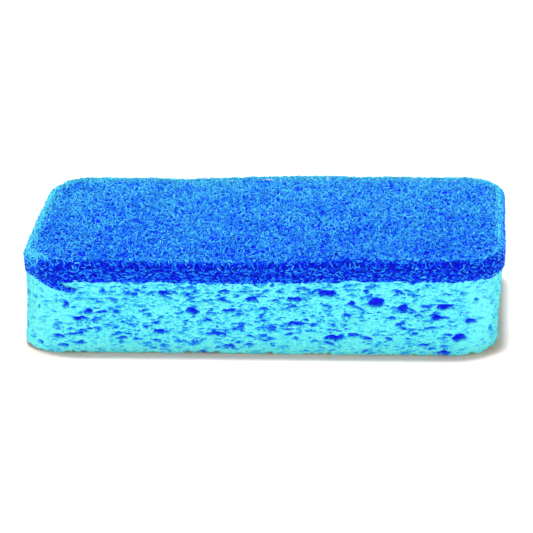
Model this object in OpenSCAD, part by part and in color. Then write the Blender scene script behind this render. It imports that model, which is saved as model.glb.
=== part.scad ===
// Cleaning sponge: a slab of open-pored cellulose foam with a scouring pad bonded to its top.
// All sizes are in millimetres. X runs along the length, Y from the front wall to the back wall,
// and Z up. The origin is the centre of the base.

/* [Sponge block] */
// Length of the block
block_l = 114; // [90:1:150]
// Depth of the block from front to back
block_w = 69; // [50:1:90]
// Thickness of the block at its middle
block_h = 18.2; // [15:0.1:30]
// How much thicker the right end is than the left end
block_rise = 1; // [0:0.1:2]
// Radius of the corners seen from above
corner_r = 13.5; // [6:0.5:20]
// How far the foot of the right end is set in from its top
end_lean = 1.3; // [0:0.1:3]
// How far the corners swell both ways at their feet
corner_swell = 0.9; // [0:0.1:1.5]
// Softening of the cut edge round the base
base_round = 0.8; // [0.5:0.1:2]
// Deepest hollow that the blade left in the walls
wall_wave = 0.4; // [0.1:0.05:0.8]

/* [Pores] */
// Width of the smallest scattered pore
pore_min = 1.3; // [0.8:0.1:2]
// Width of the largest scattered pore
pore_max = 5.2; // [3:0.1:8]
// Distance between scattered pores along the walls
wall_pitch = 5.3; // [5:0.1:12]
// Distance between rows of scattered pores up the walls
row_pitch = 5.2; // [5:0.1:8]
// Distance between scattered pores on the base
base_pitch = 8.8; // [8:0.1:15]
// Foam left whole between a pore and the pad
pore_cover = 0.5; // [0.3:0.1:2]

/* [Scouring pad] */
// Thickness of the pad
pad_t = 5.2; // [3.5:0.1:10]
// How far the pad stands out past the block
pad_overhang = 0.4; // [0.4:0.1:2]
// Rounding of the pad's top edge
pad_round = 1.8; // [0.5:0.1:2.5]
// Height of the soft lumps in the pad's top
pad_lump = 0.45; // [0.1:0.05:1]
// Roughness of the felt's top
pad_grain = 0.3; // [0:0.05:0.5]
// How far loose fibres at the rim stray
fibre_stray = 0.25; // [0.05:0.05:0.4]
// How far the rim hangs down over the block's wall
fringe_drop = 0.5; // [0.3:0.1:2]
// How far the tuft at the front left corner hangs down
tuft_drop = 2.6; // [0:0.1:5]
// Gap between the hanging rim and the block's wall
fringe_gap = 0.15; // [0.1:0.05:0.3]

/* [Hidden] */
half_l = block_l / 2;
half_w = block_w / 2;
tuft_x = -0.82 * half_l;
tuft_reach = 3;
corner_cells = 4;
wall_cell = 9;
felt_cell = 3.6;
pore_lip = 0.3;
foam_colour = [0.34, 0.92, 0.96];
fibre_colour = [0.1, 0.36, 0.93];

// The larger pores of the front wall: place along the wall from its middle, in percent of the
// half length, then place up the wall in percent, then width and height in millimetres
front_pores = [
    [-94, 57, 1.7, 1.2], [-92, 12, 2, 0.9], [-85, 37, 1.5, 1], [-82, 11, 3.5, 0.9],
    [-81, 66, 1.8, 2.1], [-79, 26, 2.7, 0.7], [-75, 47, 4.7, 1], [-75, 14, 3.3, 0.7],
    [-71, 57, 2.6, 1.5], [-67, 33, 2.5, 0.7], [-65, 84, 1.5, 1.9], [-60, 57, 2.5, 1],
    [-61, 84, 1.9, 1], [-57, 43, 1.5, 1], [-52, 81, 2.1, 0.9], [-48, 59, 2.1, 1],
    [-46, 25, 1.5, 0.7], [-43, 42, 2.3, 0.9], [-42, 30, 3.1, 1.2], [-40, 83, 3, 1],
    [-31, 16, 1.9, 1], [-30, 81, 1.9, 1.5], [-28, 58, 3.1, 1.9], [-26, 86, 2.3, 0.9],
    [-18, 27, 5.5, 1], [-15, 86, 3, 0.8], [-15, 73, 1.8, 1], [-13, 59, 3.1, 1.1],
    [-13, 10, 3, 0.9], [-9, 35, 3.9, 1.2], [-4, 74, 4.2, 1.2], [0, 20, 1.6, 1],
    [1, 35, 4.1, 0.9], [14, 22, 2.3, 0.8], [15, 42, 3.9, 1.1], [15, 75, 6, 0.9],
    [28, 83, 4.4, 1.9], [30, 23, 4.7, 1.5], [36, 53, 2.8, 1], [38, 70, 2.1, 1.5],
    [39, 27, 3.5, 1], [44, 87, 2, 1.2], [48, 71, 3.7, 2.8], [53, 23, 2, 1],
    [54, 50, 2.4, 1], [57, 86, 2.1, 1.5], [59, 63, 3.2, 1.8], [64, 29, 2.4, 1],
    [72, 38, 3.2, 1], [73, 52, 2.8, 1.5], [76, 66, 3.9, 1.1], [83, 24, 3.9, 1.9],
    [90, 74, 1.9, 1.1], [-24, 2, 2.9, 1.4], [77, 2, 3.3, 1.6]
];

// Height of the joint between block and pad
function seam(x) = block_h + block_rise * x / block_l;

// A point of the walls at a height: the right end leans in towards its foot, and the corners swell
function settled(p, z) = let (
    low = 1 - z / seam(p.x),
    lean = p.x > 0 ? end_lean * low * pow(p.x / half_l, 2) : 0,
    a = max(0, abs(p.x) - half_l + corner_r) / corner_r,
    b = max(0, abs(p.y) - half_w + corner_r) / corner_r,
    swell = 2 * corner_swell * low * a * b
) [p.x + sign(p.x) * swell - lean, p.y + sign(p.y) * swell, z];

// A point of the square from -1 to 1 carried to a slab with rounded corners, set out past the block
function slab(u, v, out) = let (
    r = corner_r + out,
    x = abs(u) * (half_l + out),
    y = abs(v) * (half_w + out),
    a = max(0, x - half_l - out + r) / r,
    b = max(0, y - half_w - out + r) / r
) [
    sign(u) * (min(x, half_l + out - r) + r * a * sqrt(1 - b * b / 2)),
    sign(v) * (min(y, half_w + out - r) + r * b * sqrt(1 - a * a / 2))
];

// Steps from -1 to 1 along one side of the square: fine ones in the corners, and between them
// steps of about one cell
function steps(half, cell) = let (
    bend = corner_r / half,
    count = ceil(2 * (half - corner_r) / cell)
) concat(
    [for (i = [0 : corner_cells - 1]) bend * i / corner_cells - 1],
    [for (i = [0 : count]) (1 - bend) * (2 * i / count - 1)],
    [for (i = [1 : corner_cells]) 1 - bend * (1 - i / corner_cells)]
);

// The square's edge, anticlockwise from the front left corner
function edge_of(us, vs) = let (m = len(us) - 1, n = len(vs) - 1) concat(
    [for (i = [0 : m - 1]) [us[i], -1]],
    [for (j = [0 : n - 1]) [1, vs[j]]],
    [for (i = [0 : m - 1]) [us[m - i], 1]],
    [for (j = [0 : n - 1]) [-1, vs[n - j]]]
);

// The triangles between one ring of points and the next
function ring_faces(rings, count) = [
    for (k = [0 : rings - 2], i = [0 : count - 1]) let (
        a = k * count + i,
        b = k * count + (i + 1) % count
    ) each [[a, a + count, b], [b, a + count, b + count]]
];

// Foam block before its pores: sawn walls with shallow waves over an uneven softened foot
module blank() {
    edge = edge_of(steps(half_l, wall_cell), steps(half_w, wall_cell));
    count = len(edge);
    levels = [0, 0.3 * base_round, base_round, 0.5 * block_h];
    inset = [base_round, 0.3 * base_round, 0, 0];
    wave = rands(0, wall_wave, len(levels) * count, 21);
    foot = rands(0.6, 1.3, count, 22);
    walls = [
        for (k = [0 : len(levels) - 1], i = [0 : count - 1]) let (
            p = slab(edge[i].x, edge[i].y, -inset[k] * foot[i] - wave[k * count + i])
        ) settled(p, levels[k])
    ];
    top = [for (e = edge) let (p = slab(e.x, e.y, 0)) [p.x, p.y, seam(p.x)]];
    rings = len(levels) + 1;
    polyhedron(
        concat(walls, top),
        concat(
            ring_faces(rings, count),
            [[for (i = [0 : count - 1]) i]],
            [[for (i = [count - 1 : -1 : 0]) (rings - 1) * count + i]]
        )
    );
}

// A pore: a flattened bubble that the blade cut open. Its mouth lies in the XZ plane, pointed at
// both ends with a domed top, and it runs into the foam along Y. A fine pore narrows to one
// point, and a broad one keeps its width before it closes
module pore(width, height, depth, corners, broad, seed) {
    stray = rands(-1, 1, 2 * corners + 2, seed);
    mouth = [
        for (i = [0 : corners - 1]) let (
            a = 360 * (i + 0.25 * stray[i]) / corners,
            reach = 1 + 0.15 * stray[corners + i]
        ) [reach * width / 2 * cos(a), reach * (sin(a) > 0 ? 0.6 : 0.4) * height * sin(a)]
    ];
    outside = [for (p = mouth) [p.x, -pore_lip, p.y]];
    inside = [for (p = mouth) if (broad) [1.06 * p.x, 0.35 * depth, 1.06 * p.y]];
    end = corners < 7 ?
        [[0.2 * width * stray[2 * corners], depth, 0.1 * height]] :
        [for (i = [0 : 2 : corners - 1]) [0.5 * mouth[i].x, depth, 0.5 * mouth[i].y]];
    points = concat(outside, inside, end);
    hull() polyhedron(points, [[for (i = [0 : len(points) - 1]) i]]);
}

// The distance round the block at its corners and straights together
wall_girth = 4 * (half_l + half_w - 2 * corner_r) + 2 * PI * corner_r;

// A place on the walls, from the distance round them: its x, its y and the way that it faces.
// The walk starts at the left of the front wall and goes anticlockwise
function wall_place(s, side = 0) = let (
    run = side % 2 == 0 ? half_l : half_w,
    off = side % 2 == 0 ? half_w : half_l,
    straight = 2 * (run - corner_r),
    arc = PI / 2 * corner_r,
    bend = -90 + (s - straight) / corner_r * 180 / PI
) s <= straight ? turned([s - run + corner_r, -off], -90, 90 * side) :
    s <= straight + arc ? turned(
        [run - corner_r + corner_r * cos(bend), corner_r - off + corner_r * sin(bend)],
        bend, 90 * side
    ) :
    wall_place(s - straight - arc, side + 1);
function turned(p, way, turn) =
    [p.x * cos(turn) - p.y * sin(turn), p.x * sin(turn) + p.y * cos(turn), way + turn];

// A pore at a place on the walls, kept clear of the pad
module wall_pore(s, z, width, height, corners, broad, seed) {
    place = wall_place(s < 0 ? s + wall_girth : s);
    level = min(z, seam(place.x) - pore_cover - 0.7 * height);
    translate(settled(place, level))
        rotate(place.z + 90)
        pore(width, height, 0.6 * width + 0.8, corners, broad, seed);
}

module front_wall_pores() {
    for (i = [0 : len(front_pores) - 1]) {
        p = front_pores[i];
        s = (p[0] / 100 + 1) * half_l - corner_r;
        wall_pore(s, p[1] / 100 * block_h, p[2], p[3], 8, p[2] >= 3, 300 + i);
    }
}

// Smaller pores scattered over all four walls in uneven rows. The front wall has only fine ones
// between its larger pores
module scattered_wall_pores() {
    columns = floor(wall_girth / wall_pitch);
    rows = floor((block_h - 2) / row_pitch);
    front_end = 2 * (half_l - corner_r);
    for (row = [0 : rows - 1], column = [0 : columns - 1]) {
        seed = 1000 + 97 * row + column;
        chance = rands(0, 1, 4, seed);
        s = (column + 0.5 * (row % 2) + 0.9 * (chance[0] - 0.5)) * wall_girth / columns;
        z = 1 + (row + 0.5 + 0.8 * (chance[1] - 0.5)) * (block_h - 2) / rows;
        growth = s < front_end ? 0.2 : 1;
        width = pore_min + (pore_max - pore_min) * growth * pow(chance[2], 3);
        height = max(0.7, width * (0.22 + 0.25 * chance[3]));
        wall_pore(s, z, width, height, width > 2.4 ? 8 : 6, false, seed);
    }
}

// Pores cut open on the base, rounder than those of the walls
module base_pores() {
    columns = floor((block_l - corner_r) / base_pitch);
    rows = floor((block_w - corner_r / 2) / base_pitch);
    for (row = [0 : rows - 1], column = [0 : columns - 1]) {
        seed = 5000 + 41 * row + column;
        chance = rands(0, 1, 5, seed);
        u = 2 * (column + 0.5 + 0.8 * (chance[0] - 0.5)) / columns - 1;
        v = 2 * (row + 0.5 + 0.8 * (chance[1] - 0.5)) / rows - 1;
        place = slab(u, v, -2 * base_round);
        width = pore_min + (pore_max - pore_min) * pow(chance[2], 2);
        height = width * (0.5 + 0.4 * chance[4]);
        translate([place.x, place.y, 0])
            rotate([90, 0, 180 * chance[3]])
            pore(width, height, 0.3 * width + 0.5, width > 2.4 ? 8 : 6, false, seed);
    }
}

module sponge_block() {
    color(foam_colour) difference() {
        blank();
        union() {
            front_wall_pores();
            scattered_wall_pores();
            base_pores();
        }
    }
}

// Height of the pad's top over the joint, rolling softly from place to place
function felt(x, y) = pad_t + pad_lump * (
    0.5 * sin(6.1 * x + 2.3 * y) + 0.3 * sin(4.7 * x - 11 * y) + 0.2 * sin(17 * x + 9 * y)
);

// How far the rim hangs below the joint at a place on it
function fringe(x, y, stray) =
    fringe_drop * (0.6 + 0.5 * stray) +
    tuft_drop * exp(-pow((x - tuft_x) / tuft_reach, 2) - pow((y + half_w) / tuft_reach, 2));

// Scouring pad: a felt of curled fibres with a rounded top edge, whose rim hangs a little over
// the block's walls and lies flat on the block everywhere else
module scouring_pad() {
    us = steps(half_l, felt_cell);
    vs = steps(half_w, felt_cell);
    m = len(us) - 1;
    n = len(vs) - 1;
    edge = edge_of(us, vs);
    count = len(edge);
    rounding = [0, 30, 60, 90];
    stray = rands(-1, 1, len(rounding) * count, 31);
    grain = rands(-1, 1, m * n, 32);
    joint = [for (e = edge) let (p = slab(e.x, e.y, fringe_gap)) [p.x, p.y, seam(p.x)]];
    hem_in = [
        for (i = [0 : count - 1]) let (p = joint[i]) settled(p, p.z - fringe(p.x, p.y, stray[i]))
    ];
    hem_out = [
        for (i = [0 : count - 1]) let (p = slab(edge[i].x, edge[i].y, pad_overhang))
        settled(p, seam(p.x) - 0.8 * fringe(joint[i].x, joint[i].y, stray[i]))
    ];
    side = [
        for (k = [0 : len(rounding) - 1], i = [0 : count - 1]) let (
            a = rounding[k],
            shift = cos(a) * fibre_stray * stray[k * count + i],
            p = slab(edge[i].x, edge[i].y, pad_overhang - pad_round * (1 - cos(a)) + shift)
        ) [p.x, p.y, seam(p.x) + felt(p.x, p.y) - pad_round * (1 - sin(a))]
    ];
    inner = [
        for (j = [1 : n - 1], i = [1 : m - 1]) let (p = slab(us[i], vs[j], pad_overhang - pad_round))
        [p.x, p.y, seam(p.x) + felt(p.x, p.y) + pad_grain * grain[j * m + i]]
    ];
    rings = 3 + len(rounding);
    last_ring = (rings - 1) * count;
    number = [
        for (j = [0 : n]) [
            for (i = [0 : m])
            j == 0 ? last_ring + i :
            i == m ? last_ring + m + j :
            j == n ? last_ring + 2 * m + n - i :
            i == 0 ? last_ring + count - j :
            rings * count + (j - 1) * (m - 1) + i - 1
        ]
    ];
    top_faces = [
        for (j = [0 : n - 1], i = [0 : m - 1]) let (
            a = number[j][i],
            b = number[j][i + 1],
            c = number[j + 1][i + 1],
            d = number[j + 1][i]
        ) each (i + j) % 2 == 0 ? [[a, c, b], [a, d, c]] : [[a, d, b], [b, d, c]]
    ];
    color(fibre_colour) polyhedron(
        concat(joint, hem_in, hem_out, side, inner),
        concat(ring_faces(rings, count), top_faces, [[for (i = [0 : count - 1]) i]])
    );
}

sponge_block();
scouring_pad();
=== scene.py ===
"""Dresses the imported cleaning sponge: open-pored cellulose foam under a mat of curled fibres."""

import math

import bpy
import numpy as np
from bpy.props import FloatProperty, FloatVectorProperty, IntProperty, PointerProperty
from mathutils import Matrix, Vector
from mathutils.bvhtree import BVHTree


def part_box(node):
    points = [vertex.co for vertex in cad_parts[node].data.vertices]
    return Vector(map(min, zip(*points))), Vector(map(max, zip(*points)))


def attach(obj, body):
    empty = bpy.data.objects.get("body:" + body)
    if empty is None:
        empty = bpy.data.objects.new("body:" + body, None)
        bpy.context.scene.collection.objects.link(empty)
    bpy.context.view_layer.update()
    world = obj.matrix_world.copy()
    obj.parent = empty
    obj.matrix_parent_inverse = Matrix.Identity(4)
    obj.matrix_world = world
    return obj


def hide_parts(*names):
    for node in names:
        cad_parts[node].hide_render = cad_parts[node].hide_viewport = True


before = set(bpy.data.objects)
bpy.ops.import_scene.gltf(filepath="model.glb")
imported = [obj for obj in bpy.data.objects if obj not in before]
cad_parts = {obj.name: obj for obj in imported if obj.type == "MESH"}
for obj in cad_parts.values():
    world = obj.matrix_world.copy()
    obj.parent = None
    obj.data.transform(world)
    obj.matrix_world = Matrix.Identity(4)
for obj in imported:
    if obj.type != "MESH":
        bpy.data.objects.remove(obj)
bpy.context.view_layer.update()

bl_info = {
    "name": "Cleaning Sponge",
    "version": (1, 0, 0),
    "blender": (4, 5, 0),
    "location": "View3D > Sidebar > Sponge",
    "description": "Models a foam block with a scouring pad, and the stage it is shown on",
    "category": "Add Mesh",
}

MM = 0.001  # lengths in the mesh code are in millimetres, and meshes are written in metres
FOAM_NODE = "sponge_block"
PAD_NODE = "scouring_pad"
BAKE_MAP = "OFBake"  # name of the UV map made for each piece
FOAM_LOW, FOAM_HIGH = (np.array(corner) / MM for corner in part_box(FOAM_NODE))
HALVES = (FOAM_HIGH - FOAM_LOW)[:2] / 2
HALF_LENGTH, HALF_DEPTH = HALVES
FOAM_TOP = FOAM_HIGH[2]
CORNER_RADIUS = 13.5
ARC = math.pi / 2 * CORNER_RADIUS
GIRTH = 4 * (HALF_LENGTH + HALF_DEPTH - 2 * CORNER_RADIUS) + 4 * ARC
SPANS = 2 * (HALVES - CORNER_RADIUS) + ARC  # a front and an end, from corner's middle to middle
WALL_ROW = 0.255  # height between the rows of points on the walls
HEM = 3.4  # width of the strip of the base between the walls and the ring inside them
OVERHANG = 0.4  # how far the pad stands past the block
PAD_ROUND = 1.8  # radius of the pad's top edge
OVERHEAD = 100.0  # where the rays that look down start


# The outline shared by the block and the pad


def outline(distance, outset=0.0):
    """Points and outward ways at distances round the block.

    They run anticlockwise from the middle of its front left corner.
    """
    points = np.zeros(distance.shape + (2,))
    ways = np.zeros(distance.shape + (2,))
    outset = np.broadcast_to(outset, distance.shape)
    left = (distance - ARC / 2) % GIRTH
    turn = np.array([[0, 1], [-1, 0]])
    for side in range(4):
        half, reach = HALVES if side % 2 == 0 else HALVES[::-1]
        run = 2 * (half - CORNER_RADIUS)
        here = (left >= 0) & (left < run + ARC)
        bend = np.clip((left[here] - run) / CORNER_RADIUS, 0, None) - math.pi / 2
        way = np.stack([np.cos(bend), np.sin(bend)], -1)
        middle = np.minimum(left[here], run) - half + CORNER_RADIUS
        middle = np.stack([middle, np.full(middle.shape, CORNER_RADIUS - reach)], -1)
        spin = np.linalg.matrix_power(turn, side)
        points[here] = (middle + (CORNER_RADIUS + outset[here])[:, None] * way) @ spin
        ways[here] = way @ spin
        left = np.where(left < run + ARC, -1.0, left - run - ARC)
    return points, ways


def rim_distance(points):
    """How far points lie in from the block's outline, and the way straight out to it."""
    off = np.abs(points) - (HALVES - CORNER_RADIUS)
    corner = np.clip(off, 0, None)
    reach = np.linalg.norm(corner, axis=-1)
    lengthwise = off[..., 0] > off[..., 1]
    straight = np.stack([lengthwise, ~lengthwise], -1)
    in_middle = reach == 0
    way = np.where(in_middle[..., None], straight, corner / np.maximum(reach, 1e-9)[..., None])
    distance = CORNER_RADIUS - np.where(in_middle, off.max(-1), reach)
    return distance, way * np.where(points < 0, -1, 1)


def stations(cell):
    """Distances round the block in steps of about one cell, and how many its front and end have."""
    counts = [2 * round(span / cell / 2) for span in SPANS]
    starts = np.cumsum([0, *SPANS, *SPANS])
    steps = [
        starts[side] + np.linspace(0, SPANS[side % 2], counts[side % 2], endpoint=False)
        for side in range(4)
    ]
    return np.concatenate(steps), counts


def patch(rim, across, up):
    """A grid of points stretched over a closed rim that starts at its front left corner."""
    front = rim[: across + 1]
    right = rim[across : across + up + 1]
    back = rim[across + up : 2 * across + up + 1][::-1]
    left = np.concatenate([rim[2 * across + up :], rim[:1]])[::-1]
    u = np.linspace(0, 1, across + 1)[None, :, None]
    v = np.linspace(0, 1, up + 1)[:, None, None]
    sides = (1 - v) * front[None] + v * back[None] + (1 - u) * left[:, None] + u * right[:, None]
    corners = (1 - v) * ((1 - u) * front[0] + u * front[-1])
    corners = corners + v * ((1 - u) * back[0] + u * back[-1])
    return sides - corners


def patch_numbers(rim_start, inner_start, across, up):
    """The vertex numbers of a patch whose rim is already a ring of vertices."""
    numbers = np.zeros((up + 1, across + 1), int)
    inner = np.arange((up - 1) * (across - 1)).reshape(up - 1, across - 1)
    numbers[1:-1, 1:-1] = inner_start + inner
    ring = rim_start + np.arange(2 * (across + up))
    numbers[0] = ring[: across + 1]
    numbers[:, -1] = ring[across : across + up + 1]
    numbers[-1] = ring[across + up : 2 * across + up + 1][::-1]
    numbers[1:, 0] = ring[2 * across + up :][::-1]
    return numbers


def ring_numbers(rows, count):
    """Vertex numbers of rings one over the other, each closed by its own first number."""
    numbers = np.arange(rows * count).reshape(rows, count)
    return np.concatenate([numbers, numbers[:, :1]], 1)


def grid_quads(numbers):
    """Quads over a grid of vertex numbers, anticlockwise."""
    corners = numbers[:-1, :-1], numbers[:-1, 1:], numbers[1:, 1:], numbers[1:, :-1]
    return np.stack(corners, -1).reshape(-1, 4)


def box_map(left, right, low, high):
    """The corners of boxes on a map, in the order of a grid's quads."""
    x, y = np.stack([left, right, right, left], -1), np.stack([low, low, high, high], -1)
    return np.stack([x, y], -1)


def at_height(flat, height):
    """Points over flat places, at one height or at each place's own."""
    height = np.broadcast_to(height, flat.shape[:-1])
    return np.concatenate([flat, height[..., None]], -1)


def joint_height(x):
    """Height of the joint between foam and pad, which rises slightly to the right."""
    return FOAM_MIDDLE + FOAM_SLOPE * x


def seam_wave(along):
    """How far the visible seam wanders over and under the joint, at distances round the block."""
    turns = math.tau * along / GIRTH
    waves = 0.24 * np.sin(37 * turns) + 0.14 * np.sin(61 * turns + 2 * np.sin(7 * turns))
    return waves + 0.1 * np.sin(113 * turns)


# Relief


def rolling(shape, cells, rng, ring=True):
    """Smooth noise from -1 to 1 over a grid, with about this many cells each way.

    On a ring the ends of the first axis meet.
    """
    lattice = rng.uniform(-1, 1, (cells[0] + 1, cells[1] + 2))
    if ring:
        lattice[-1] = lattice[0]
    for axis in (0, 1):
        place = np.linspace(0, cells[axis], shape[axis], endpoint=False)
        low = place.astype(int)
        share = place - low
        share = share * share * (3 - 2 * share)
        share = share[:, None] if axis == 0 else share
        before, after = (np.take(lattice, low + step, axis) for step in (0, 1))
        lattice = before * (1 - share) + after * share
    return lattice


def wall_cells(wide, high):
    """How many cells of about this size go round the walls and up them."""
    return round(GIRTH / wide), round(FOAM_TOP / high)


def spread_out(values, reach, pick):
    """The least or greatest value within reach along the ring."""
    return pick.reduce([np.roll(values, step, 0) for step in range(-reach, reach + 1)])


def soften(values):
    """One light blur each way. The first axis is a ring."""
    values = (np.roll(values, 1, 0) + 2 * values + np.roll(values, -1, 0)) / 4
    padded = np.pad(values, ((0, 0), (1, 1)), mode="edge")
    return (padded[:, :-2] + 2 * padded[:, 1:-1] + padded[:, 2:]) / 4


def slope_floors(depth, step, slope):
    """Lets each pore's floor rise slowly from its lower edge, so that only its roof is steep."""
    for row in range(1, depth.shape[1]):
        depth[:, row] = np.minimum(depth[:, row], depth[:, row - 1] + slope[:, row] * step)
    return depth


def eased(depth, limit):
    """Depths that come near a limit, but never pass it."""
    return limit * (1 - np.exp(-depth / limit))


def press_pores(shape, size, rng, count, widths, flatness):
    """A depth map of small pores, pointed at both ends.

    size is the map's size in millimetres, widths the least and greatest width, and flatness the
    least and greatest share of a pore's width that is its height.
    """
    depth = np.zeros(shape)
    step = np.array(size) / shape
    margin = 0.3  # between the pores' middles and the map's lower and upper edges
    lowest = 0.36  # a lower pore would fall between the rows of points
    for _ in range(count):
        middle = rng.uniform((0, margin), (size[0], size[1] - margin))
        # The power makes narrow pores more common than wide ones.
        wide = widths[0] + (widths[1] - widths[0]) * rng.uniform() ** 2.4
        high = max(wide * rng.uniform(*flatness), lowest)
        deep = 0.12 + 0.45 * wide * rng.uniform(0.3, 1.0)
        lean = rng.uniform(-0.25, 0.25)
        cells = np.ceil(np.array([wide, high + 0.3 * wide]) / step / 2).astype(int) + 1
        at = (middle / step).astype(int)
        rows = np.arange(at[0] - cells[0], at[0] + cells[0] + 1)
        columns = np.arange(max(at[1] - cells[1], 0), min(at[1] + cells[1] + 1, shape[1]))
        x = rows[:, None] * step[0] - middle[0]
        z = columns[None] * step[1] - middle[1] - lean * x
        # Each pore reaches further above its widest line than below it.
        z = z / high / np.where(z > 0, 0.62, 0.38)
        inside = np.clip(1.3 * (1 - (2 * x / wide) ** 2 - z * z), 0, 1)
        window = np.ix_(rows % shape[0], columns)
        depth[window] = np.maximum(depth[window], deep * np.sqrt(inside))
    return depth


def cast(node, starts, ways, missed):
    """How far each ray runs before it meets a CAD node, in millimetres."""
    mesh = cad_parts[node].data
    corners = [polygon.vertices[:] for polygon in mesh.polygons]
    tree = BVHTree.FromPolygons([vertex.co for vertex in mesh.vertices], corners)
    ways = np.broadcast_to(ways, starts.shape).reshape(-1, 3)
    runs = []
    for start, way in zip((starts.reshape(-1, 3) * MM).tolist(), ways.tolist()):
        run = tree.ray_cast(Vector(start), Vector(way))[3]
        runs.append(missed if run is None else run / MM)
    return np.array(runs).reshape(starts.shape[:-1])


def seen_from_above(node, places):
    """Heights at which a CAD node is met from above."""
    return OVERHEAD - cast(node, at_height(places, OVERHEAD), (0.0, 0.0, -1.0), OVERHEAD)


def joint_line():
    """Height of the top of the CAD block at its middle, and its slope."""
    ends = np.array([-0.8, 0.8]) * HALF_LENGTH
    heights = seen_from_above(FOAM_NODE, np.stack([ends, np.zeros(2)], -1))
    return heights.mean(), (heights[1] - heights[0]) / (ends[1] - ends[0])


FOAM_MIDDLE, FOAM_SLOPE = joint_line()


# Materials


def linear(code):
    """An sRGB hex colour as linear red, green, blue and alpha."""
    parts = [int(code[i : i + 2], 16) / 255 for i in (1, 3, 5)]
    return [c / 12.92 if c <= 0.04045 else ((c + 0.055) / 1.055) ** 2.4 for c in parts] + [1.0]


def add(tree, kind, sockets=(), stops=(), **settings):
    """Adds a node with its settings, and returns its outputs.

    Each socket gets a value or another node's output, and a colour ramp gets its stops.
    """
    node = tree.nodes.new("ShaderNode" + kind)
    for key, value in settings.items():
        setattr(node, key, value)
    for key, value in dict(sockets).items():
        if isinstance(value, bpy.types.NodeSocket):
            tree.links.new(value, node.inputs[key])
        else:
            node.inputs[key].default_value = value
    if stops:
        elements = node.color_ramp.elements
        while len(elements) < len(stops):
            elements.new(1.0)
        for element, (place, tint) in zip(elements, stops):
            element.position = place
            element.color = tint
    return node.outputs


def new_material(name):
    """An empty material and its tree."""
    material = bpy.data.materials.new(name)
    material.use_nodes = True
    material.node_tree.nodes.clear()
    return material, material.node_tree


def cellulose_foam(look):
    """Cellulose sponge, coloured with dye in the mass and sawn: matt and fine-grained, palest on
    raised walls.

    Its colour is painted by depth, from cyan to a deep blue down each pore: painted shade in the
    hollows.
    """
    material, tree = new_material("cellulose_foam_dyed_sawn")
    place = add(tree, "TexCoord")["Object"]
    # The finest pits are wider than they are high: the flattened cells of a pressed foam.
    flat = add(tree, "Mapping", {"Vector": place, "Scale": (1.05, 1.05, 2.6)})["Vector"]
    pits = add(tree, "TexNoise", {
        "Vector": flat, "Scale": 1 / (2 * look.pit_size), "Detail": 3.0, "Roughness": 0.65,
    })["Fac"]
    # Small flattened cells cut open by the saw, at most as wide as they lie apart. Each one's edge
    # wanders, and painted shade darkens it under its roof.
    stray = 0.8 * MM
    wander = add(tree, "TexNoise", {
        "Vector": place, "Scale": 1 / (0.7 * MM), "Detail": 1.0,
    })["Color"]
    wander = add(tree, "VectorMath", {
        0: wander, 1: (stray, stray, stray), 2: place,
    }, operation="MULTIPLY_ADD")[0]
    pressed = add(tree, "Mapping", {"Vector": wander, "Scale": (1, 1, 3)})["Vector"]
    cells = add(tree, "TexVoronoi", {"Vector": pressed, "Scale": 1 / look.cell_size})
    chance = add(tree, "SeparateColor", {"Color": cells["Color"]})["Red"]
    radius = add(tree, "MapRange", {"Value": chance, "From Min": 0.1, "To Max": 0.5})["Result"]
    within = add(tree, "Math", {0: radius, 1: cells["Distance"]}, operation="SUBTRACT")[0]
    opened = add(tree, "MapRange", {"Value": within, "From Max": 0.06})["Result"]
    above = add(tree, "VectorMath", {0: pressed, 1: cells["Position"]}, operation="SUBTRACT")[0]
    above = add(tree, "SeparateXYZ", {"Vector": above})["Z"]
    roof = 0.3 * look.cell_size
    painted_roof_shade = add(tree, "MapRange", {
        "Value": above, "From Min": -roof, "From Max": roof, "To Min": 0.2, "To Max": 0.9,
    })["Result"]
    opened = add(tree, "Math", {0: opened, 1: painted_roof_shade}, operation="MULTIPLY")[0]
    # Soft clouds about 9 mm across, where the foam took more or less dye.
    clouds = add(tree, "TexNoise", {"Vector": place, "Scale": 1 / (9 * MM), "Detail": 2.0})["Fac"]
    clouded = add(tree, "MapRange", {
        "Value": clouds, "From Min": 0.3, "From Max": 0.7, "To Min": -0.03, "To Max": 0.03,
    })["Result"]
    # The finest pits add to the depth, so they are painted darker: painted shade, paler between
    # them.
    pitted = add(tree, "MapRange", {
        "Value": pits, "From Min": 0.36, "From Max": 0.68, "To Min": -0.26, "To Max": 0.42,
    })["Result"]
    depth = add(tree, "Attribute", attribute_name="pore_depth")["Fac"]
    for more in (pitted, clouded, opened):
        depth = add(tree, "Math", {0: depth, 1: more}, operation="ADD")[0]
    # Painted shade: the colour darkens from the raised walls down every pit, cell and pore.
    share = add(tree, "MapRange", {"Value": depth, "From Min": -0.1, "From Max": 1.7})["Result"]
    dye_and_painted_light = add(tree, "ValToRGB", {"Fac": share}, stops=(
        (0.0, look.raised), (0.09, look.foam), (0.21, look.shallow), (0.34, look.middle),
        (0.54, look.deep), (0.88, look.deepest),
    ))["Color"]
    # Painted light: the corners and the foot are mixed towards a pale tint, a painted highlight on
    # the corners and painted light against the shade at the foot.
    with_painted_light = add(tree, "Mix", {
        "Factor": add(tree, "Attribute", attribute_name="paleness")["Fac"], "A": dye_and_painted_light,
        "B": look.skin[:],
    }, data_type="RGBA")["Result"]
    bump = add(tree, "Bump", {
        "Strength": 0.5, "Distance": 0.15 * MM, "Height": pits,
    }, invert=True)["Normal"]
    surface = add(tree, "BsdfPrincipled", {
        "Base Color": with_painted_light, "Roughness": 0.9, "IOR": 1.47, "Specular IOR Level": 0.2,
        "Normal": bump,
    })["BSDF"]
    add(tree, "OutputMaterial", {"Surface": surface})
    return material


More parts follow.
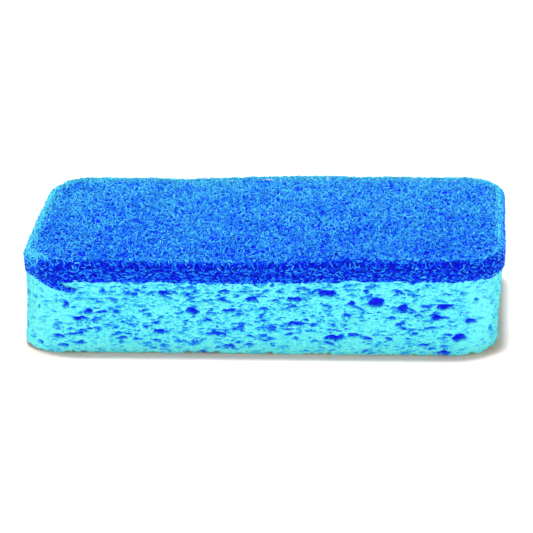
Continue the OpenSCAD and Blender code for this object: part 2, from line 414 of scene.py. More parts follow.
def scouring_fibre(name, look):
    """Nylon fibre, coloured with dye and bonded with resin into an open mat: nearly matt.

    Each strand has its tone, which paints light and shade: the upper are painted pale, those
    further in keep the full blue, and the deepest are painted darker as painted shade.
    """
    material, tree = new_material(name)
    place = add(tree, "TexCoord")["Object"]
    # Resin gathers in beads about 0.8 mm apart along the strands.
    beads = add(tree, "TexNoise", {"Vector": place, "Scale": 1 / (0.8 * MM), "Detail": 1.0})["Fac"]
    shade = add(tree, "MapRange", {
        "Value": beads, "From Min": 0.3, "From Max": 0.7, "To Min": -0.12, "To Max": 0.12,
    })["Result"]
    tone = add(tree, "Attribute", attribute_name="tone")["Fac"]
    shade = add(tree, "Math", {0: tone, 1: shade}, operation="ADD", use_clamp=True)[0]
    # The ramp paints light and shade by tone: gap and inner are painted shade deep in the felt,
    # upper and the lightest are painted light on top.
    dye_and_painted_light = add(tree, "ValToRGB", {"Fac": shade}, stops=(
        (0.0, look.gap), (0.25, look.inner), (0.5, look.fibre), (0.75, look.upper),
        (1.0, look.painted_highlight),
    ))["Color"]
    bump = add(tree, "Bump", {"Strength": 0.3, "Distance": 0.05 * MM, "Height": beads})["Normal"]
    surface = add(tree, "BsdfPrincipled", {
        "Base Color": dye_and_painted_light, "Roughness": 0.6, "IOR": 1.53, "Specular IOR Level": 0.07,
        "Sheen Weight": 0.15, "Sheen Roughness": 0.35, "Sheen Tint": look.sheen[:],
        "Normal": bump,
    })["BSDF"]
    add(tree, "OutputMaterial", {"Surface": surface})
    return material


def studio_floor(look):
    """Matt white board.

    Close to the sponge it is painted warm against the blue light that the foam throws on it, so
    that the shadow stays grey.
    """
    material, tree = new_material("studio_board_matt_white")
    place = add(tree, "TexCoord")["Object"]
    straight = (HALF_LENGTH - CORNER_RADIUS) * MM, (HALF_DEPTH - CORNER_RADIUS) * MM, 0.0
    away = add(tree, "VectorMath", {0: place}, operation="ABSOLUTE")[0]
    off = add(tree, "VectorMath", {0: away, 1: straight}, operation="SUBTRACT")[0]
    off = add(tree, "VectorMath", {0: off, 1: (0, 0, 0)}, operation="MAXIMUM")[0]
    reach = add(tree, "VectorMath", {0: off}, operation="LENGTH")["Value"]
    fade = 6.5
    share = add(tree, "MapRange", {
        "Value": reach, "From Min": CORNER_RADIUS * MM, "From Max": (CORNER_RADIUS + fade) * MM,
    })["Result"]
    # Past the ends, which throw less blue light, the painted warm tint is weaker.
    ahead = add(tree, "SeparateXYZ", {"Vector": away})["X"]
    ends = add(tree, "MapRange", {
        "Value": ahead, "From Min": (HALF_LENGTH - 2.5) * MM, "From Max": (HALF_LENGTH + 3.5) * MM,
    })["Result"]
    share = add(tree, "Math", {0: share, 1: ends}, operation="MAXIMUM")[0]
    white = add(tree, "Mix", {
        "Factor": share, "A": look.board_near[:], "B": look.board[:],
    }, data_type="RGBA")["Result"]
    surface = add(tree, "BsdfDiffuse", {"Color": white})["BSDF"]
    add(tree, "OutputMaterial", {"Surface": surface})
    return material


# Pieces


def new_object(name, data):
    """Makes an object of this data and puts it in the scene."""
    thing = bpy.data.objects.new(name, data)
    bpy.context.scene.collection.objects.link(thing)
    return thing


def build(name, points, faces, material, uv=None, **values):
    """Makes a mesh from points in millimetres, groups of faces, and values held at its points."""
    mesh = bpy.data.meshes.new(name)
    mesh.from_pydata(points * MM, [], [face for group in faces for face in group.tolist()])
    mesh.polygons.foreach_set("use_smooth", np.ones(len(mesh.polygons), bool))
    for key, numbers in values.items():
        held = mesh.attributes.new(key, "FLOAT", "POINT").data
        held.foreach_set("value", numbers.astype(np.float32))
    if uv is not None:
        mesh.uv_layers.new(name=BAKE_MAP).uv.foreach_set("vector", uv.astype(np.float32).ravel())
    mesh.materials.append(material)
    mesh.update()
    return new_object(name, mesh)


def wall_relief(look, along, heights, rng):
    """How far each point of the walls lies in from the outline, and how deep its pore is."""
    shape = heights.shape
    # The rays wander a little, so that the modelled pores get torn edges.
    cells = wall_cells(1.1, 0.8)
    places, facing = outline(along[:, None] + 0.35 * rolling(shape, cells, rng))
    edge = 0.05  # the rays keep this far inside the wall's lower and upper edges
    aimed = np.clip(heights + 0.2 * rolling(shape, cells, rng), edge, heights[:, -1:] - edge)
    aimed[:, 0] = edge
    outside = 3.0
    starts = at_height(places + outside * facing, aimed)
    inset = cast(FOAM_NODE, starts, at_height(-facing, 0.0), outside) - outside
    # What is broader than a pore is the wall's own wave, lean and foot.
    widest = 7.2
    reach = round(widest / 2 / (GIRTH / len(along)))
    wall = spread_out(spread_out(inset, reach, np.minimum), reach, np.maximum)
    for _ in range(3):
        wall = soften(wall)
    pores = np.clip(inset - wall, 0, None)
    torn = np.clip(0.95 + 0.45 * rolling(shape, wall_cells(1.3, 0.7), rng), 0.3, 1.2)
    size = (GIRTH, FOAM_TOP)
    small = press_pores(shape, size, rng, look.wall_pores, (0.6, 3.2), (0.14, 0.34))
    # Towards the foot and round the corners the pores are shallower.
    small *= (1 - 0.7 * near_corner(along)[:, None]) * np.clip(0.15 + heights / 4.0, 0, 1)
    pores = np.maximum(pores * torn * np.clip(0.25 + heights / 2.5, 0, 1), small)
    slope = 1.5 + 0.9 * rolling(shape, wall_cells(4, 3), rng)
    pores = slope_floors(pores, FOAM_TOP / (shape[1] - 1), slope)
    return wall, (soften(pores) + 3 * pores) / 4


def base_relief(look, grid, rng):
    """How far each point of the base lies up from the floor."""
    shape = grid.shape[:2]
    below = 2.0  # where the rays start, under the floor
    starts = grid.copy()
    starts[..., 2] = -below
    wander = np.stack([rolling(shape, (60, 90), rng, ring=False) for _ in range(2)], -1)
    starts[1:-1, 1:-1, :2] += 0.4 * wander[1:-1, 1:-1]
    rise = np.maximum(cast(FOAM_NODE, starts, (0.0, 0.0, 1.0), below) - below, 0)
    size = 2 * HALVES[::-1]
    small = press_pores(shape, size, rng, look.base_pores, (1.0, 3.2), (0.5, 0.9))
    rise = np.maximum(rise, small)
    rise[[0, -1]] = 0
    rise[:, [0, -1]] = 0
    return rise


def foam_walls(look, along, rng):
    """Rows of points from the foot up to the joint, and the pores and the grain of the walls."""
    ring, ways = outline(along)
    levels = np.linspace(0, 1, round(FOAM_TOP / WALL_ROW) + 1)
    heights = levels[None] * (joint_height(ring[:, :1]) + seam_wave(along)[:, None])
    wall, pores = wall_relief(look, along, heights, rng)
    grain = 0.07 * rolling(wall.shape, (round(GIRTH), 40), rng)
    swell = 0.10 * rolling(wall.shape, (round(GIRTH / 5), 5), rng)
    inset = wall + eased(pores, look.pore_limit / MM) + grain + swell
    # The foot spreads furthest at the front left corner, and stays outside the ring in the base.
    aside = (along + GIRTH / 2) % GIRTH - GIRTH / 2
    inset -= 0.7 * np.exp(-((aside / 9) ** 2))[:, None] * (1 - levels) ** 2
    inset[:, 0] = np.minimum(inset[:, 0], HEM - 0.4)
    # Its edge is torn in broad notches with narrow ones among them.
    torn = 0.1
    for width in (3.5, 0.8):
        torn = torn + rolling((len(along), 1), (round(GIRTH / width), 1), rng)
    torn = np.clip(torn, 0, 0.9) * np.clip(1 - heights / 1.2, 0, 1)
    heights = heights + look.foot_tear / MM * torn
    flat = ring[:, None] - inset[..., None] * ways[:, None]
    return at_height(flat, heights).transpose(1, 0, 2), pores, grain


def hem_faces(count, foot_start):
    """Triangles from the lowest row of the walls to the ring of half as many points inside it."""
    k = np.arange(count // 2)
    near, far = foot_start + k, foot_start + (k + 1) % len(k)
    one, two, three = 2 * k, 2 * k + 1, (2 * k + 2) % count
    triangles = (two, one, near), (two, near, far), (three, two, far)
    return np.concatenate([np.stack(corners, -1) for corners in triangles])


def foam_block(look):
    """The foam: its walls and base are the CAD block's, opened by many more small pores."""
    rng = np.random.default_rng(11)
    along, (across, up) = stations(look.cell / MM)
    count = len(along)
    walls, pores, grain = foam_walls(look, along, rng)
    rows = len(walls)
    walls = walls.reshape(-1, 3)
    numbers = ring_numbers(rows, count)
    wall_quads = grid_quads(numbers)
    # The base: a ring of half as many points inside the foot, and a patch over it.
    across, up = across // 2, up // 2
    foot = at_height(outline(along[::2], -HEM)[0], 0.0)
    grid = patch(foot, across, up)
    rise = base_relief(look, grid, rng)
    grid[..., 2] = eased(rise, look.pore_limit / MM)
    inner, inner_rise = grid[1:-1, 1:-1].reshape(-1, 3), rise[1:-1, 1:-1].ravel()
    foot_start = len(walls)
    grid_start = foot_start + len(foot)
    base_quads = grid_quads(patch_numbers(foot_start, grid_start, across, up))[:, ::-1]
    hem = hem_faces(count, foot_start)
    # The top is hidden by the pad, so a fan that dips under the joint closes it.
    lid = np.full(count, grid_start + len(inner))
    lid = np.stack([numbers[-1, :-1], numbers[-1, 1:], lid], -1)
    points = np.concatenate([walls, foot, inner, [[0, 0, joint_height(0) - 0.5]]])
    depth = np.concatenate([(pores + grain).T.ravel(), np.zeros(len(foot)), inner_rise, [0]])
    pale = corner_paleness(along, pores, rng).T.ravel()
    pale = np.concatenate([pale, np.zeros(len(points) - len(walls))])
    uv = foam_map(points, rows, count, base_quads, hem, lid)
    faces = wall_quads, base_quads, hem, lid
    material = cellulose_foam(look)
    piece = build("foam_block", points, faces, material, uv, pore_depth=depth, paleness=pale)
    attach(piece, "root")
    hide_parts(FOAM_NODE)


def near_corner(along):
    """From 0 on the straight walls to 1 on the rounded corners."""
    corners = np.cumsum([0, *SPANS, SPANS[0]])[:, None]
    off = np.abs((along - corners + GIRTH / 2) % GIRTH - GIRTH / 2).min(0)
    return np.clip(1.4 - off / 10.0, 0, 1)


def corner_paleness(along, pores, rng):
    """Painted light: the rounded corners and the foot are paler than the walls, in soft patches."""
    patches = 0.65 + 0.35 * rolling(pores.shape, (round(GIRTH / 4), 6), rng)
    # At the foot the painted light fades over some eight rows, which are 2 mm high.
    foot = 1.3 * np.exp(-np.arange(pores.shape[1]) / 8)
    painted_light_reach = np.maximum(near_corner(along)[:, None], foot)
    return np.clip(0.6 * painted_light_reach * patches * np.exp(-pores / 0.3), 0, 1)


def foam_map(points, rows, count, base_quads, hem, lid):
    """A flat layout of the foam at one scale.

    The walls lie in three strips under the base, and the hidden top lies smaller beside it.
    """
    sheet = 137.0  # millimetres across the square map
    margin = 1.0
    strips = 3
    strip = FOAM_TOP + 1.5
    column = np.tile(np.arange(count), rows - 1)
    row = np.repeat(np.arange(rows - 1), count)
    wide, tall = GIRTH / count, FOAM_TOP / (rows - 1)
    which = column * strips // count
    left = (column - np.ceil(which * count / strips)) * wide
    low = which * strip + row * tall
    walls = box_map(left, left + wide, low, low + tall)
    base_at = np.array([HALF_LENGTH, HALF_DEPTH + strips * strip])
    lid_at = np.array([2 * HALF_LENGTH + 11, strips * strip + 8])
    lid_scale = 0.15
    base = points[np.concatenate([base_quads.ravel(), hem.ravel()])][:, :2] + base_at
    hidden = lid_scale * points[lid.ravel()][:, :2] + lid_at
    return (np.concatenate([walls.reshape(-1, 2), base, hidden]) + margin) / sheet


def pad_top():
    """A function that reads the height of the CAD pad's top between the points of a grid."""
    shape = (60, 36)
    x, y = (np.linspace(-HALVES[axis], HALVES[axis], shape[axis]) for axis in (0, 1))
    places = np.stack(np.meshgrid(x, y, indexing="ij"), -1)
    distance, way = rim_distance(places)
    inner = places + np.minimum(distance - PAD_ROUND - 0.6, 0)[..., None] * way
    tops = seen_from_above(PAD_NODE, inner)

    def height(points):
        place = [(points[..., axis] / HALVES[axis] + 1) / 2 * (shape[axis] - 1) for axis in (0, 1)]
        low = [np.clip(place[axis].astype(int), 0, shape[axis] - 2) for axis in (0, 1)]
        a, b = (np.clip(place[axis] - low[axis], 0, 1) for axis in (0, 1))
        i, j = low
        front = tops[i, j] * (1 - a) + tops[i + 1, j] * a
        back = tops[i, j + 1] * (1 - a) + tops[i + 1, j + 1] * a
        return front * (1 - b) + back * b

    return height


PAD_TOP = pad_top()
PAD_SIDE = float(PAD_TOP(np.zeros(2))) - FOAM_MIDDLE - PAD_ROUND  # height of the flat side


def laid_on_pad(flat, lift):
    """Places over the pad's surface, and the way up from it there.

    What runs past the rim turns down over the side.
    """
    distance, way = rim_distance(flat)
    distance = distance + OVERHANG
    past = np.clip(-distance, 0, None)
    tilt = np.arcsin(np.clip(1 - distance / PAD_ROUND, 0, 1))
    inner = flat + np.minimum(distance - PAD_ROUND, 0)[..., None] * way
    level = PAD_TOP(inner) - PAD_ROUND * (1 - np.cos(tilt)) - past
    rise = at_height(np.sin(tilt)[..., None] * way, np.cos(tilt))
    foot = at_height(flat - past[..., None] * way, level)
    return foot + lift[..., None] * rise, rise


def bed_sink(look, past):
    """How far the bed lies under the pad's surface, at distances past the rim."""
    return np.interp(past, (-PAD_ROUND, PAD_SIDE), (look.bed_depth / MM, OVERHANG + 0.05))


def felt_bed(look):
    """The felt that closes the pad, and shows as dark gaps between the loose strands: a dark sheet
    of painted shade under them.
    """
    rng = np.random.default_rng(23)
    along, (across, up) = stations(look.cell / MM)
    count = len(along)
    # Rings from the joint up the side to the rounded edge, as distances past the rim. The bed is
    # flush with the foam at the joint and lies deepest under the top.
    past = np.concatenate([np.linspace(PAD_SIDE + 0.2, 0, 7), [-0.6, -1.2, -PAD_ROUND]])
    sink = bed_sink(look, past)[:, None]
    side_map = outline(np.broadcast_to(along, (len(past), count)), OVERHANG + past[:, None])[0]
    lump = 0.15 * rolling((count, len(past)), (round(GIRTH / 1.5), 5), rng).T
    rings, _ = laid_on_pad(side_map, lump - sink)
    low = joint_height(rings[0, :, 0]) + seam_wave(along)
    rings[0, :, 2] = low
    rings[1:, :, 2] = np.maximum(rings[1:, :, 2], low + 0.02 * np.arange(1, len(past))[:, None])
    start = len(past) * count
    flat = patch(side_map[-1], across, up)
    lump = 0.2 * rolling(flat.shape[:2], (round(up / 2), round(across / 2)), rng, ring=False)
    flat, lump = flat[1:-1, 1:-1], lump[1:-1, 1:-1]
    top, _ = laid_on_pad(flat, lump - look.bed_depth / MM)
    side_map, flat = side_map.reshape(-1, 2), flat.reshape(-1, 2)
    numbers = ring_numbers(len(past), count)
    quads = grid_quads(patch_numbers(start - count, start, across, up))
    quads = np.concatenate([grid_quads(numbers), quads])
    points = np.concatenate([rings.reshape(-1, 3), top.reshape(-1, 3), [[0, 0, joint_height(0)]]])
    under = np.stack([numbers[0, 1:], numbers[0, :-1], np.full(count, len(points) - 1)], -1)
    # Painted shade: the bed is darkest on the side and a little lighter under the top, with the
    # edges' painted highlight carried down the side.
    plain = 0.16
    rim_tone = np.clip(cloud_tone(side_map), 0, None) * down_side(np.repeat(past, count))
    top_tone = plain + np.clip(cloud_tone(flat) - 0.18, 0, None)
    tone = np.concatenate([0.03 + rim_tone, top_tone, [plain]])
    tone = tone + 0.05 * rng.uniform(-1, 1, len(tone))
    # The map is the view from above, with the side spread out round it and the hidden underside,
    # drawn smaller, below.
    spread = np.concatenate([side_map, flat, [[0, 0]]])
    sheet = 2 * (HALF_LENGTH + OVERHANG + PAD_SIDE + 2)
    uv = spread[np.concatenate([quads.ravel(), under.ravel()])]
    uv[quads.size :] = 0.4 * uv[quads.size :] + [0, -1.6 * HALF_DEPTH]
    uv = (uv + [sheet / 2, 2.05 * HALF_DEPTH]) / sheet
    material = scouring_fibre("scouring_felt_resin_bonded", look)
    piece = build("felt_bed", points, (quads, under), material, uv, tone=tone)
    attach(piece, "root")
    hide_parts(PAD_NODE)


def curls(starts, heading, bend, run, knots, rng):
    """Flat curling lines about their starts: each keeps its bend, and wanders a little from it."""
    count = len(starts)
    t = np.linspace(0, 1, knots)[None]
    wave = rng.uniform(0.3, 1.0, (count, 1)) * np.sin(
        math.tau * (rng.uniform(0.6, 1.6, (count, 1)) * t + rng.uniform(0, 1, (count, 1)))
    )
    way = heading[:, None] + bend[:, None] * (t - 0.5) + wave
    steps = np.stack([np.cos(way), np.sin(way)], -1) * (run / (knots - 1))[:, None, None]
    lines = np.cumsum(steps, 1)
    return starts[:, None] + lines - lines.mean(1, keepdims=True)


def strand_map(count, knots, sides):
    """The map of the strands' faces: first the quads of every strand, and then its tips.

    Each strand has its own cell, which it crosses lengthwise one way and round itself the other.
    """
    side = np.tile(np.arange(sides), knots - 3)
    knot = np.repeat(np.arange(1, knots - 2), sides)
    quads = box_map(knot, knot + 1, side, side + 1)
    last = knots - 1
    tips = np.concatenate([
        np.stack([np.tile(columns, (sides, 1)), np.arange(sides)[:, None] + rows], -1)
        for columns, rows in (([0, 1, 1], [0.5, 0, 1]), ([last - 1, last - 1, last], [1, 0, 0.5]))
    ])
    cells = math.ceil(math.sqrt(count))
    margin = 0.06
    corner = np.stack(np.divmod(np.arange(count), cells), -1)[:, None] + margin
    scale = (1 - 2 * margin) / np.array([last, sides])
    maps = [(faces.reshape(-1, 2) * scale + corner).reshape(-1, 2) for faces in (quads, tips)]
    return np.concatenate(maps) / cells


def unit(vectors):
    """Vectors of length one along these."""
    return vectors / np.maximum(np.linalg.norm(vectors, axis=-1, keepdims=True), 1e-9)


def tubes(name, lines, ups, width, tones, material):
    """One piece of three-sided strands that run along lines and come to a point at both ends."""
    sides = 3
    count, knots = lines.shape[:2]
    ways = unit(np.gradient(lines, axis=1))
    across = unit(np.cross(ways, ups))
    over = np.cross(across, ways)
    # One of the sides faces out of the felt, so that it takes the light.
    turns = ((np.arange(sides) / sides - 0.25) * math.tau)[:, None]
    reach = np.cos(turns) * across[:, 1:-1, None] + np.sin(turns) * over[:, 1:-1, None]
    rings = lines[:, 1:-1, None] + 0.5 * width * reach
    points = np.concatenate([lines[:, :1], rings.reshape(count, -1, 3), lines[:, -1:]], 1)
    each = points.shape[1]
    ring = 1 + np.arange((knots - 2) * sides).reshape(knots - 2, sides)
    after = np.roll(ring, -1, 1)
    quads = np.stack([ring[:-1], ring[1:], after[1:], after[:-1]], -1).reshape(-1, 4)
    start = np.stack([np.zeros(sides, int), ring[0], after[0]], -1)
    end = np.stack([after[-1], ring[-1], np.full(sides, each - 1)], -1)
    first = (np.arange(count) * each)[:, None, None]
    quads = (quads + first).reshape(-1, 4)
    tips = (np.concatenate([start, end]) + first).reshape(-1, 3)
    uv = strand_map(count, knots, sides)
    tone = np.repeat(tones, each)
    piece = build(name, points.reshape(-1, 3), (quads, tips), material, uv, tone=tone)
    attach(piece, "root")
    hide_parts(PAD_NODE)


def top_strands(look, name, lift, tone, seed, material):
    """A layer of strands coiled at every slant, at about this lift from the pad's surface."""
    rng = np.random.default_rng(seed)
    count = look.layer_strands
    knots = 6
    half = HALVES + OVERHANG
    middles = rng.uniform(-half, half, (count, 2))

    def draw(low, high):
        """A number for each strand."""
        return rng.uniform(low, high, (count, 1))

    heading = draw(0, math.tau)
    slant = np.radians(draw(15, 90))
    radius = draw(0.3, 0.85)
    # Up to four fifths of a turn, drawn out along the strand and bent a little out of round.
    t = np.linspace(-1, 1, knots)[None]
    turn = draw(0, math.tau) + draw(0.8, 2.5) * t
    turn += 0.4 * np.sin(draw(1, 4) * t + draw(0, math.tau))
    ahead = radius * np.cos(turn) + draw(0.1, 1.0) * t
    across = radius * np.sin(turn) * np.cos(slant)
    x = ahead * np.cos(heading) - across * np.sin(heading)
    y = ahead * np.sin(heading) + across * np.cos(heading)
    flat = middles[:, None] + np.stack([x, y], -1)
    # Strands that would pass the rim turn along it instead.
    distance, way = rim_distance(flat)
    rim = draw(0.6, 2.4) - OVERHANG
    flat = flat - np.clip(rim - distance, 0, None)[..., None] * way
    high = lift + 0.12 * rng.normal(size=(count, 1))
    rise = high + np.minimum(radius, 0.75) * np.sin(turn) * np.sin(slant)
    lines, ups = laid_on_pad(flat, np.clip(rise, -1.6, 0.22))
    # Painted light and shade: higher layers and higher strands get lighter tones, the edges a
    # painted highlight, and each strand some tone at random.
    tones = tone + 0.15 * rng.normal(size=count) + 0.3 * (high[:, 0] - lift) + cloud_tone(middles)
    tubes(name, lines, ups, look.strand_width / MM, np.clip(tones, 0, 1), material)


def cloud_tone(places):
    """Slow changes of tone over the pad's top, a painted highlight along its edges, and its darker
    front edge.
    """
    x, y = places[:, 0], places[:, 1]
    clouds = 0.05 * np.sin(x / 4.1 + 1.3 * np.sin(y / 5.3))
    clouds = clouds + 0.04 * np.sin(y / 3.1 + 2.1 * np.sin(x / 9.7) + 1)
    distance, way = rim_distance(places)
    # The painted highlight is strongest at the back and the left end, weaker at the right end, and
    # missing at the front.
    broad = 3.4 + 0.4 * np.abs(way[:, 0])
    painted_highlight = np.clip(4 * way[:, 1] + 3.0 - 0.6 * np.sign(x), 0, 1)
    painted_highlight *= np.clip(1 - distance / broad, 0, 1) * (1 - 0.75 * np.clip(way[:, 0], 0, 1))
    front = np.clip(1 - distance / 1.5, 0, 1) * np.clip(-way[:, 1], 0, 1)
    return clouds + 0.12 * y / HALF_DEPTH + 0.6 * painted_highlight - 0.3 * front * (1 - painted_highlight)


def down_side(past):
    """How much of the edges' painted highlight is left down the pad's side."""
    return np.interp(past, (0, PAD_SIDE), (1.0, 0.2))


def rim_strands(look, name, material):
    """Strands round the pad's side, nearly level, down to a ragged rim.

    Near the front left corner the first of them hang in a tuft.
    """
    rng = np.random.default_rng(41)
    count = look.rim_strands
    knots = 4
    tuft = count // 24
    along = rng.uniform(0, GIRTH, count)
    past = rng.uniform(-PAD_ROUND, PAD_SIDE + 0.2, count)
    heading = rng.normal(0, 0.2, count) * np.interp(past, (-PAD_ROUND, 0.5), (5.0, 1.0))
    run = rng.uniform(0.7, 2.2, count)
    bend = rng.normal(0, 0.9, count)
    # The tuft: the rim sags more and more towards the right, and ends in a thin tail.
    trail = rng.uniform(0, 1, tuft)
    sag = np.interp(trail, (0, 0.6, 1), (0.3, 2.1, 2.4))
    thick = np.interp(trail, (0.6, 0.8), (1.0, 0.15))
    along[:tuft] = ARC / 2 - 10.0 + 9.5 * trail
    past[:tuft] = PAD_SIDE + sag * (1 - rng.uniform(0, 1, tuft) * thick)
    heading[:tuft] = 0.3 * (1 - trail) + rng.normal(0, 0.4 - 0.3 * trail, tuft)
    bend[:tuft] = rng.normal(0, 2.0 - 1.2 * trail, tuft)
    run[:tuft] = rng.uniform(1.0, 2.6, tuft)
    lines = curls(np.stack([along, past], -1), heading, bend, run, knots, rng)
    ragged = 0.25 - seam_wave(along) + rng.uniform(-0.3, 0.35, count)
    hang = PAD_SIDE + np.where(np.arange(count) < tuft, 3.0, ragged)
    lines[..., 1] = np.minimum(lines[..., 1], hang[:, None])
    flat = outline(lines[..., 0], OVERHANG + lines[..., 1])[0]
    # Most strands lie a little under the pad's surface, and their tips bend further in.
    sunk = 0.14
    t = np.linspace(-1, 1, knots)[None]
    high = 0.12 * rng.normal(size=(count, 1)) - sunk
    rise = high + 0.1 * np.sin(4 * t + rng.uniform(0, math.tau, (count, 1))) - 0.3 * np.abs(t) ** 3
    rise[:tuft] += 0.2
    # The side draws in towards the joint, but stays over the bed and outside the foam.
    deepest = 0.15 - bed_sink(look, lines[..., 1])
    rise = np.clip(rise - 0.25 * np.clip(lines[..., 1] / PAD_SIDE, 0, 1), deepest, 0.12)
    laid, ups = laid_on_pad(flat, rise)
    # The side is painted a deeper blue than the top, as painted shade, lighter near the rounded
    # edge and with the edges' painted highlight.
    tones = 0.2 + 0.24 * rng.normal(size=count) + 0.3 * (high[:, 0] + sunk)
    lighter = 0.5 * np.clip((0.2 - past) / 1.4, 0, 1) + cloud_tone(flat[:, 0])
    tones += np.clip(lighter, 0, None) * down_side(past)
    tubes(name, laid, ups, look.strand_width / MM, np.clip(tones, 0, 1), material)


# Sizes and colours that a user would change


def number(name, description, default, **more):
    """A number property."""
    return FloatProperty(name=name, description=description, default=default, **more)


def length(name, description, default):
    """A length property, given in millimetres."""
    return number(name, description, default * MM, unit="LENGTH", precision=5)


def angle(name, description, default):
    """An angle property, given in degrees."""
    return number(name, description, math.radians(default), subtype="ANGLE", precision=5)


def amount(name, description, default):
    """A whole number property."""
    return IntProperty(name=name, description=description, default=default, min=1)


def colour(name, description, default):
    """A colour property, given as an sRGB hex colour."""
    return FloatVectorProperty(
        name=name, description=description, default=linear(default), size=4, subtype="COLOR",
        min=0, max=1,
    )


class FoamSettings(bpy.types.PropertyGroup):
    """Sizes and colours of the foam block"""

    cell: length("Cell", "Distance between the points of the modelled walls", 0.335)
    pit_size: length("Pit size", "Width of the finest pits, which are in the material alone", 0.4)
    cell_size: length("Cell size", "Spacing of the small cells, in the material alone", 1.9)
    pore_limit: length("Pore limit", "Depth that the deepest pores come near", 1.6)
    foot_tear: length("Foot tear", "Height of the torn notches along the foot", 0.6)
    wall_pores: amount("Wall pores", "Small pores pressed into the walls", 4200)
    base_pores: amount("Base pores", "Small pores pressed into the base", 1500)
    # From raised to deepest the colours are painted by depth: paler on raised walls, darker and
    # bluer down the pores, as painted shade.
    raised: colour("Raised", "Raised walls between the pores", "#70E0DE")
    foam: colour("Foam", "Sawn foam", "#54DCDE")
    shallow: colour("Shallow", "Shallow pits", "#3ABEDE")
    middle: colour("Middle", "Middling pores", "#218AE2")
    deep: colour("Deep", "Deep pores", "#0A48DE")
    deepest: colour("Deepest", "Back of the deepest pores", "#0218D4")
    # Painted light: the pale tint mixed into the corners and the foot.
    skin: colour("Skin", "Dense foam at the corners and the foot", "#70ECE8")


class FeltSettings(bpy.types.PropertyGroup):
    """Sizes and colours of the scouring pad"""

    cell: length("Cell", "Distance between the points of the felt bed", 0.8)
    bed_depth: length("Bed depth", "How far the bed lies under the pad's surface", 1.05)
    strand_width: length("Strand width", "Several times that of a real fibre, to show", 0.26)
    layer_strands: amount("Layer strands", "Strands in each layer of the top", 8000)
    rim_strands: amount("Rim strands", "Strands round the side", 15500)
    # From gap to the lightest the tones paint shade and light: darker deep in the felt, paler on
    # its surface and edges.
    gap: colour("Gap", "Gaps deep in the felt", "#0008D2")
    inner: colour("Inner", "Strands deep in the felt", "#0034FF")
    fibre: colour("Fibre", "Strands near the surface", "#2098FF")
    upper: colour("Upper", "Strands on the surface", "#42BEFF")
    # The lightest tone: painted highlight on the top layer and along the pad's edges.
    painted_highlight: colour("Scuffed", "Strands scuffed pale", "#60E4FF")
    sheen: colour("Sheen", "Soft light on the strands' fuzz", "#4CA8FF")


class StageSettings(bpy.types.PropertyGroup):
    """Camera, lamps and board"""

    azimuth: angle("Azimuth", "Camera's turn round the sponge", 4.277)
    elevation: angle("Elevation", "Camera's angle over the floor", 18.409)
    roll: angle("Roll", "Camera's roll", -0.913)
    distance: length("Distance", "From the camera to the point it looks at", 759.7)
    focal: number("Focal length", "Focal length in widths of the picture", 5.8074)
    aim: FloatVectorProperty(
        name="Aim", description="Point that the camera looks at",
        default=(-0.888 * MM, 0, 10.489 * MM), subtype="TRANSLATION", unit="LENGTH",
    )
    sky: number("Sky", "Strength of the even light all round", 0.3, min=0)
    key: number("Key", "Light that the key lamp gives a surface facing it", 1.03, min=0)
    fill: number("Fill", "Light that the fill lamp gives a surface facing it", 0.47, min=0)
    side: number("Side", "Light that each side lamp gives a surface facing it", 0.2, min=0)
    board: colour("Board", "White board", "#FFFAF6")
    # Painted warm tint that cancels the foam's blue light on the board near the sponge.
    board_near: colour("Board near", "White board close to the sponge", "#FFD2C0")


# Operators


class SPONGE_OT_foam(bpy.types.Operator):
    """Model the foam block in place of its CAD node"""

    bl_idname = "sponge.foam"
    bl_label = "Foam Block"

    def execute(self, context):
        foam_block(context.scene.sponge_foam)
        return {"FINISHED"}


class SPONGE_OT_felt(bpy.types.Operator):
    """Model the felt bed in place of the pad's CAD node"""

    bl_idname = "sponge.felt"
    bl_label = "Felt Bed"

    def execute(self, context):
        felt_bed(context.scene.sponge_felt)
        return {"FINISHED"}


class SPONGE_OT_strands(bpy.types.Operator):
    """Lay the curled strands over the felt bed, in layers and round its side"""

    bl_idname = "sponge.strands"
    bl_label = "Scouring Strands"

    def execute(self, context):
        look = context.scene.sponge_felt
        material = scouring_fibre("scouring_nylon_strands", look)
        # Painted shade: the deeper a layer lies, the lower its tone.
        for name, lift, tone, seed in (
            ("strands_deep", -0.85, 0.4, 31),
            ("strands_middle", -0.65, 0.6, 32),
            ("strands_top", -0.45, 0.8, 33),
        ):
            top_strands(look, name, lift, tone, seed, material)
        rim_strands(look, "strands_rim", material)
        return {"FINISHED"}


class SPONGE_OT_stage(bpy.types.Operator):
    """Set up the white floor, the lamps, the sky and the camera"""

    bl_idname = "sponge.stage"
    bl_label = "Stage"

    def execute(self, context):
        look = context.scene.sponge_stage
        floor(look)
        lamps(look)
        sky(look)
        camera(look)
        context.scene.view_settings.view_transform = "Standard"
        return {"FINISHED"}


def floor(look):
    """A wide white board under the sponge, turned up softly at its edge."""
    sunk = 0.02  # under the sponge, so that the two don't share a plane
    reaches = np.array([0.5, 1.0, 1.5, 1.8, 2.0]) / MM
    lifts = np.array([0.0, 0.0, 0.0, 0.02, 0.08]) / MM - sunk
    count = 64
    turns = np.linspace(0, math.tau, count, endpoint=False)
    circle = np.stack([np.cos(turns), np.sin(turns)], -1)
    rings = [at_height(reach * circle, lift) for reach, lift in zip(reaches, lifts)]
    points = np.concatenate([*rings, [[0, 0, -sunk]]])
    numbers = ring_numbers(len(reaches), count)
    quads = grid_quads(numbers)[:, ::-1]
    middle = np.stack([numbers[0, :-1], numbers[0, 1:], np.full(count, len(points) - 1)], -1)
    board = build("floor", points, (quads, middle), studio_floor(look))


def towards(azimuth, elevation):
    """The way from the sponge to what stands at this turn round it and angle over the floor."""
    flat = math.cos(elevation)
    return Vector((math.sin(azimuth) * flat, -math.cos(azimuth) * flat, math.sin(elevation)))


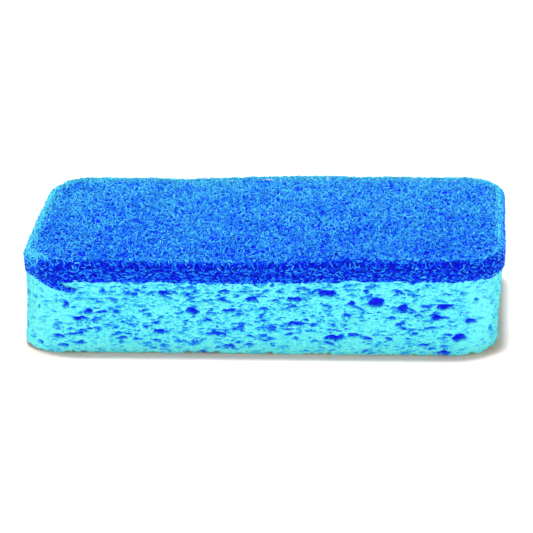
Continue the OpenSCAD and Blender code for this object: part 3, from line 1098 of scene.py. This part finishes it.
def lamps(look):
    """A soft high key from behind, a low broad fill in front, and a low lamp at each end.

    Azimuth, elevation and spread are in degrees.
    """
    for name, azimuth, elevation, strength, spread in (
        ("key", 192.0, 80.5, look.key, 11.0),
        ("fill", 5.0, 13.0, look.fill, 24.0),
        ("left", 282.0, 16.0, look.side, 30.0),
        ("right", 82.0, 14.0, look.side, 30.0),
    ):
        lamp = bpy.data.lights.new(name, "SUN")
        lamp.energy = math.pi * strength
        lamp.angle = math.radians(spread)
        way = towards(math.radians(azimuth), math.radians(elevation))
        new_object(name, lamp).rotation_euler = way.to_track_quat("Z", "Y").to_euler()


def sky(look):
    """An even white sky, which the camera and clear or glossy things see at full white."""
    world = bpy.data.worlds.new("sky")
    bpy.context.scene.world = world
    world.use_nodes = True
    tree = world.node_tree
    tree.nodes.clear()
    path = add(tree, "LightPath")
    seen = path["Is Camera Ray"]
    for ray in ("Is Glossy Ray", "Is Transmission Ray"):
        seen = add(tree, "Math", {0: seen, 1: path[ray]}, operation="ADD", use_clamp=True)[0]
    strength = {"Factor": seen, "A": look.sky, "B": 1.0}
    strength = add(tree, "Mix", strength, data_type="FLOAT")["Result"]
    light = add(tree, "Background", {"Strength": strength})["Background"]
    add(tree, "OutputWorld", {"Surface": light})


def camera(look):
    """The photograph's viewpoint: slightly from the right, a little above, through a long lens."""
    back = towards(look.azimuth, look.elevation)
    level = (-back).cross(Vector((0, 0, 1))).normalized()
    upright = level.cross(-back)
    right = math.cos(look.roll) * level + math.sin(look.roll) * upright
    over = math.cos(look.roll) * upright - math.sin(look.roll) * level
    lens = bpy.data.cameras.new("camera")
    lens.sensor_width = 36.0
    lens.lens = look.focal * lens.sensor_width
    lens.clip_end = 20.0
    thing = new_object("camera", lens)
    axes = Matrix((right, over, back)).transposed().to_4x4()
    thing.matrix_world = Matrix.Translation(Vector(look.aim) + look.distance * back) @ axes
    bpy.context.scene.camera = thing


class SPONGE_PT_parts(bpy.types.Panel):
    """The sponge's pieces and its stage"""

    bl_label = "Cleaning Sponge"
    bl_space_type = "VIEW_3D"
    bl_region_type = "UI"
    bl_category = "Sponge"

    def draw(self, context):
        for settings, operators in (
            ("sponge_foam", (SPONGE_OT_foam,)),
            ("sponge_felt", (SPONGE_OT_felt, SPONGE_OT_strands)),
            ("sponge_stage", (SPONGE_OT_stage,)),
        ):
            box = self.layout.box()
            group = getattr(context.scene, settings)
            for key in group.bl_rna.properties.keys():
                if key not in ("rna_type", "name"):
                    box.prop(group, key)
            for operator in operators:
                box.operator(operator.bl_idname)


CLASSES = (
    FoamSettings, FeltSettings, StageSettings,
    SPONGE_OT_foam, SPONGE_OT_felt, SPONGE_OT_strands, SPONGE_OT_stage, SPONGE_PT_parts,
)


def register():
    for cls in CLASSES:
        bpy.utils.register_class(cls)
    bpy.types.Scene.sponge_foam = PointerProperty(type=FoamSettings)
    bpy.types.Scene.sponge_felt = PointerProperty(type=FeltSettings)
    bpy.types.Scene.sponge_stage = PointerProperty(type=StageSettings)


def unregister():
    del bpy.types.Scene.sponge_stage
    del bpy.types.Scene.sponge_felt
    del bpy.types.Scene.sponge_foam
    for cls in reversed(CLASSES):
        bpy.utils.unregister_class(cls)


def main():
    register()
    bpy.ops.sponge.stage()
    bpy.ops.sponge.foam()
    bpy.ops.sponge.felt()
    bpy.ops.sponge.strands()


if __name__ == "__main__":
    main()
